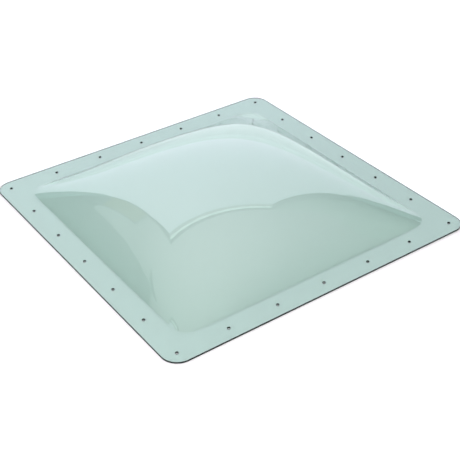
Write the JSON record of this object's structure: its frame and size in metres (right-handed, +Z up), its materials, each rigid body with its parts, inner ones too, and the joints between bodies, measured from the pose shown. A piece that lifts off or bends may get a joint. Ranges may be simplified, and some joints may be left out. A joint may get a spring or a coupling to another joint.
{
  "type": "recreational vehicle skylight dome",
  "caption": "Low square skylight dome blown from one tinted clear plastic sheet, with a flat rounded-corner rim drilled all round for screws.",
  "frame": {"origin": "middle of the rim's underside, where the skylight sits on the roof", "axes": "+Z up out of the roof, through the crown; X and Y along the rim's sides"},
  "size_m": [0.6604, 0.6604, 0.1048],
  "materials": {
    "tinted_sheet": "smooth gloss, clear pale grey-green tint, edges look black"
  },
  "bodies": {
    "root": {"skylight_dome": "tinted_sheet"}
  },
  "joints": []
}
